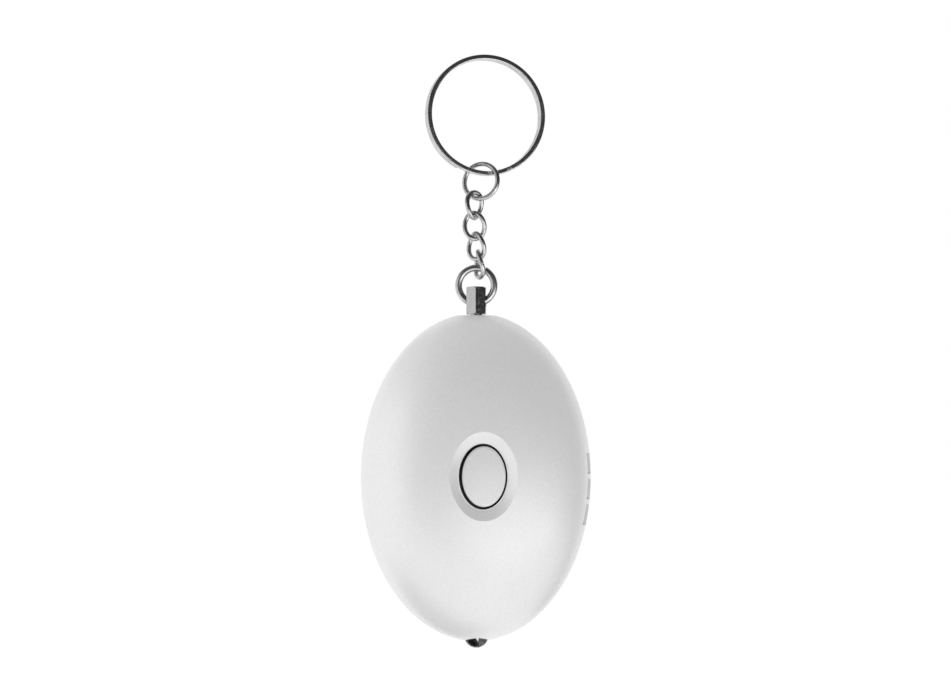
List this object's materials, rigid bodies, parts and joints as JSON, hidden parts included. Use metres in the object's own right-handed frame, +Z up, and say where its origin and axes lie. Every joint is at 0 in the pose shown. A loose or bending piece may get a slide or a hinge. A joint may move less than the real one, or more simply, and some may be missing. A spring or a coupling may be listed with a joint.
{
  "type": "personal safety alarm",
  "caption": "Egg-shaped pull-pin alarm with a light button in an oval dish, a lamp at its lower end, and a short chain and split ring that carry it by the pin.",
  "frame": {"origin": "middle of the key ring, which the alarm hangs from", "axes": "+Z up, towards the top of the key ring; the front of the case with the light button faces -Y; +X is to the right as seen from the front"},
  "size_m": [0.0476, 0.0255, 0.1227],
  "materials": {
    "case_silver": "satin silver paint on moulded plastic",
    "button_silver": "satin silver paint on moulded plastic",
    "chain_nickel": "bright nickel plate on steel wire",
    "ring_nickel": "bright nickel plate on flat steel wire",
    "pin_nickel": "nickel plate on turned hexagon bar",
    "screw_steel": "zinc-plated steel",
    "black_plastic": "moulded",
    "board_green": "glass-fibre board with green lacquer",
    "copper_coil": "enamelled copper winding",
    "brass_sheet": "plain sheet",
    "white_ceramic": "silvered ceramic",
    "black_foam": "closed-cell foam",
    "red_wire": "insulated wire",
    "cell_steel": "nickel-plated can",
    "clear_lamp": "smoky clear resin"
  },
  "bodies": {
    "key_ring": {"key_ring": "ring_nickel"},
    "connector": {"connector_ring": "chain_nickel"},
    "link_1": {"chain_link_1": "chain_nickel"},
    "link_2": {"chain_link_2": "chain_nickel"},
    "link_3": {"chain_link_3": "chain_nickel"},
    "link_4": {"chain_link_4": "chain_nickel"},
    "pin_ring": {"pin_ring": "chain_nickel"},
    "pull_pin": {"pull_pin": "pin_nickel"},
    "case": {"front_shell": "case_silver", "rear_shell": "case_silver", "case_screws": "screw_steel", "push_switch": "black_plastic", "circuit_board": "board_green", "siren_chip": "black_plastic", "boost_coil": "copper_coil", "drive_transistor": "black_plastic", "sounder_disc": "brass_sheet", "sounder_ceramic": "white_ceramic", "sounder_gasket": "black_foam", "sounder_wires": "red_wire", "button_cells": "cell_steel", "plus_contact": "brass_sheet", "minus_contact": "brass_sheet", "lamp": "clear_lamp", "lamp_wires": "red_wire", "pin_contacts": "brass_sheet"},
    "button": {"light_button": "button_silver", "switch_plunger": "black_plastic"}
  },
  "joints": [
    {"name": "connector_swing", "type": "hinge", "parent": "key_ring", "child": "connector", "pos_m": [-0.00083, -0.0002, -0.01207], "axis": [0.9507, 0.3023, -0.0686], "range_deg": [-25, 25]},
    {"name": "link_1_swing", "type": "hinge", "parent": "connector", "child": "link_1", "pos_m": [-0.00179, 0, -0.01733], "axis": [0.8403, -0.5, -0.2095], "range_deg": [-20, 20]},
    {"name": "link_2_swing", "type": "hinge", "parent": "link_1", "child": "link_2", "pos_m": [-0.00238, 0, -0.02145], "axis": [0.5444, 0.8386, -0.019], "range_deg": [-25, 25]},
    {"name": "link_3_swing", "type": "hinge", "parent": "link_2", "child": "link_3", "pos_m": [-0.00196, 0, -0.02572], "axis": [0.9939, 0.0347, 0.1045], "range_deg": [-20, 20]},
    {"name": "link_4_swing", "type": "hinge", "parent": "link_3", "child": "link_4", "pos_m": [-0.00159, 0, -0.02915], "axis": [0.7071, -0.7071, 0], "range_deg": [-15, 15]},
    {"name": "pin_ring_swing", "type": "hinge", "parent": "link_4", "child": "pin_ring", "pos_m": [-0.00186, 0, -0.03177], "axis": [0.9816, -0.1908, 0], "range_deg": [-8, 25]},
    {"name": "pin_swing", "type": "hinge", "parent": "pin_ring", "child": "pull_pin", "pos_m": [-0.00186, 0, -0.03873], "axis": [0.9816, -0.1908, 0], "range_deg": [-40, 40]},
    {"name": "pin_pull", "type": "slide", "parent": "pull_pin", "child": "case", "axis": [0, 0, -1], "range_m": [0, 0.02]},
    {"name": "button_press", "type": "slide", "parent": "case", "child": "button", "axis": [0, 1, 0], "range_m": [0, 0.0005], "stiffness_N_per_m": 3000}
  ]
}
